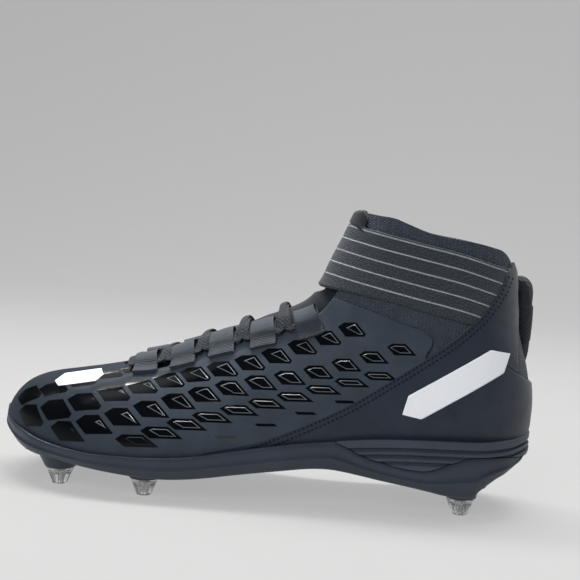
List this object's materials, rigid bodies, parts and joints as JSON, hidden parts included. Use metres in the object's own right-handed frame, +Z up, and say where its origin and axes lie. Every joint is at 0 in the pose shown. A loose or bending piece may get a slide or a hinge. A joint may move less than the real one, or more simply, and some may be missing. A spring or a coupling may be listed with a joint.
{
  "type": "american football cleat",
  "caption": "Left american football cleat with a mid-high knit collar, film vamp, webbing lace loops, ankle strap, heel pull loop and screw-in studs under a moulded plate.",
  "frame": {"origin": "on the floor under the middle of the shoe's box, where the stud tips stand", "axes": "+X from the heel to the toe, +Y to the wearer's left, which is the outer side, +Z up"},
  "size_m": [0.317, 0.107, 0.1707],
  "materials": {
    "knit": "black engineered knit",
    "film": "glossy black film with raised matte ribs",
    "synthetic": "matte black synthetic cloth",
    "strap": "heather dark grey knit",
    "webbing": "ribbed black webbing",
    "lace": "soft black knitted lace",
    "cord": "black braided cord with a ribbed sleeve",
    "insole": "black foam with cloth top",
    "midsole": "satin black foam with moulded ribs",
    "plate": "satin black moulded nylon",
    "stud": "clear polyurethane"
  },
  "bodies": {
    "root": {"outsole": "plate", "midsole": "midsole", "insole": "insole", "upper": "knit", "vamp_skin": "film", "heel_quarter": "synthetic", "ankle_strap": "strap", "tongue": "knit", "lace_loop_outer_1": "webbing", "lace_loop_outer_2": "webbing", "lace_loop_outer_3": "webbing", "lace_loop_outer_4": "webbing", "lace_loop_outer_5": "webbing", "lace_loop_inner_1": "webbing", "lace_loop_inner_2": "webbing", "lace_loop_inner_3": "webbing", "lace_loop_inner_4": "webbing", "lace_loop_inner_5": "webbing", "lace": "lace", "pull_loop": "cord", "stud_heel_outer": "stud", "stud_heel_inner": "stud", "stud_ball_outer": "stud", "stud_ball_inner": "stud", "stud_front_outer": "stud", "stud_front_inner": "stud", "stud_toe": "stud"}
  },
  "joints": []
}
